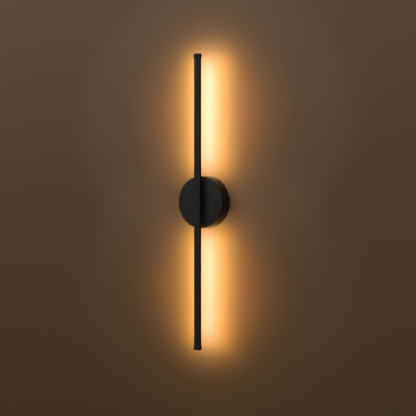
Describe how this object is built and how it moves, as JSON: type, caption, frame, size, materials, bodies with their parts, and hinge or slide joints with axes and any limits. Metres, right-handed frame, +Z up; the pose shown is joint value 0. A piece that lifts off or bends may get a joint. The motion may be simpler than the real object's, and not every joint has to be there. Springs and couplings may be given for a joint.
{
  "type": "tube wall light",
  "caption": "Slim black tube wall light in front of a round canopy. Opal strips send its light to the wall above and below the canopy, on which the tube turns.",
  "frame": {"origin": "centre of the canopy's back, on the wall", "axes": "+Y into the wall, along the swivel's axis; -Y into the room; +Z up, along the tube; +X to the right seen from the room"},
  "size_m": [0.1096, 0.0471, 0.6],
  "materials": {
    "black_shell": "satin",
    "black_tube": "satin",
    "black_steel": "satin",
    "black_plastic": "matte",
    "natural_plastic": "matte",
    "opal": "matte",
    "board_white": "satin",
    "led_yellow": "satin",
    "zinc_steel": "satin",
    "spring_steel": "satin",
    "tinned_copper": "satin",
    "brass": "satin",
    "grommet_rubber": "matte",
    "block_white": "satin",
    "driver_white": "matte",
    "board_green": "satin",
    "ferrite": "matte",
    "capacitor_can": "satin",
    "lead_brown": "satin",
    "lead_blue": "satin",
    "lead_green_yellow": "satin",
    "jacket_white": "matte",
    "connector_white": "satin",
    "core_red": "satin",
    "core_black": "satin"
  },
  "bodies": {
    "canopy": {"mounting_plate": "zinc_steel", "cable_grommet": "grommet_rubber", "canopy_shell": "black_shell", "canopy_screws": "black_shell", "backing_plate": "zinc_steel", "stop_pin": "spring_steel", "swivel_bush": "black_plastic", "thrust_washer": "natural_plastic", "terminal_block": "block_white", "terminal_barrels": "brass", "terminal_screws": "zinc_steel", "block_screws": "zinc_steel", "driver_case": "driver_white", "driver_lid": "driver_white", "driver_board": "board_green", "driver_transformer": "ferrite", "driver_capacitors": "capacitor_can", "driver_screws": "zinc_steel", "live_lead": "lead_brown", "neutral_lead": "lead_blue", "earth_lead": "lead_green_yellow", "earth_tag": "tinned_copper", "earth_screw": "zinc_steel", "output_lead": "jacket_white", "lead_plug": "connector_white", "lead_socket": "connector_white", "swivel_lead": "jacket_white"},
    "tube": {"tube_body": "black_tube", "swivel_stem": "zinc_steel", "foot_screws": "zinc_steel", "anchor_bar": "zinc_steel", "centre_cover": "black_plastic", "saddle": "black_tube", "upper_diffuser": "opal", "lower_diffuser": "opal", "upper_led_board": "board_white", "lower_led_board": "board_white", "upper_leds": "led_yellow", "lower_leds": "led_yellow", "top_cap": "black_tube", "bottom_cap": "black_tube", "cap_screws": "black_steel", "lamp_lead": "jacket_white", "positive_cores": "core_red", "negative_cores": "core_black", "stop_washer": "zinc_steel", "disc_spring": "spring_steel", "stem_washer": "zinc_steel", "stem_nut": "zinc_steel"}
  },
  "joints": [
    {"name": "tube_swivel", "type": "hinge", "parent": "canopy", "child": "tube", "pos_m": [0, -0.03, 0], "axis": [0, 1, 0], "range_deg": [-170, 170]}
  ]
}
